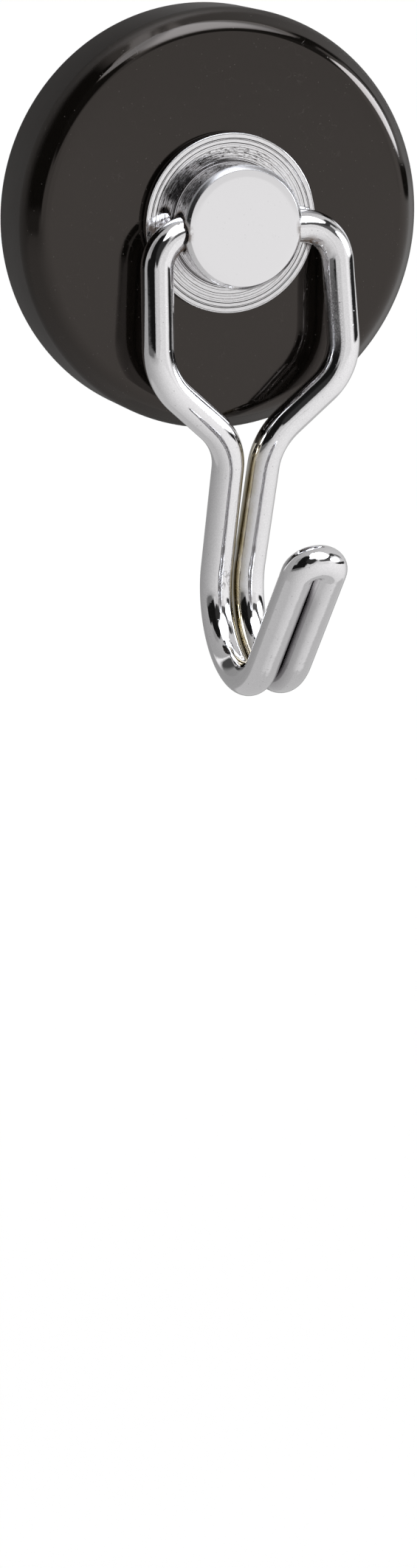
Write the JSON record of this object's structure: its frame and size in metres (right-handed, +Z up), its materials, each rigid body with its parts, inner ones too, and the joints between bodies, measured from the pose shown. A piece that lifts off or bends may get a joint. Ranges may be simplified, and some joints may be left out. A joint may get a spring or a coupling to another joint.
{
  "type": "magnetic hook",
  "caption": "Round pot magnet with a swivelling cross-drilled stud and a hinged bent wire hook for hanging keys on a steel surface.",
  "frame": {"origin": "centre of the magnetic back face, on the swivel axis", "axes": "+Y out of the back face into the wall, so the front faces -Y; +Z up; the wire hook hangs along -Z"},
  "size_m": [0.047, 0.036, 0.076],
  "materials": {
    "black_lacquer": "deep gloss black lacquer on drawn steel",
    "ferrite": "ground sintered ferrite, matt dark grey",
    "zinc_steel": "zinc plated steel, turned face",
    "casting_resin": "black casting resin, matt",
    "chrome": "bright chrome plate over steel, with fine turning and drawing marks",
    "spring_steel": "plain spring steel"
  },
  "bodies": {
    "pot": {"pot_shell": "black_lacquer", "ring_magnet": "ferrite", "pole_core": "zinc_steel", "outer_resin_ring": "casting_resin", "inner_resin_ring": "casting_resin"},
    "stud": {"swivel_stud": "chrome", "wave_washer": "spring_steel", "retaining_washer": "spring_steel"},
    "hook": {"wire_hook": "chrome"}
  },
  "joints": [
    {"name": "stud_swivel", "type": "hinge", "parent": "pot", "child": "stud", "pos_m": [0, 0, 0], "axis": [0, -1, 0], "continuous": true},
    {"name": "hook_swing", "type": "hinge", "parent": "stud", "child": "hook", "pos_m": [0.00108, -0.01272, -0.00042], "axis": [-1, 0, 0], "range_deg": [-5, 160]}
  ]
}
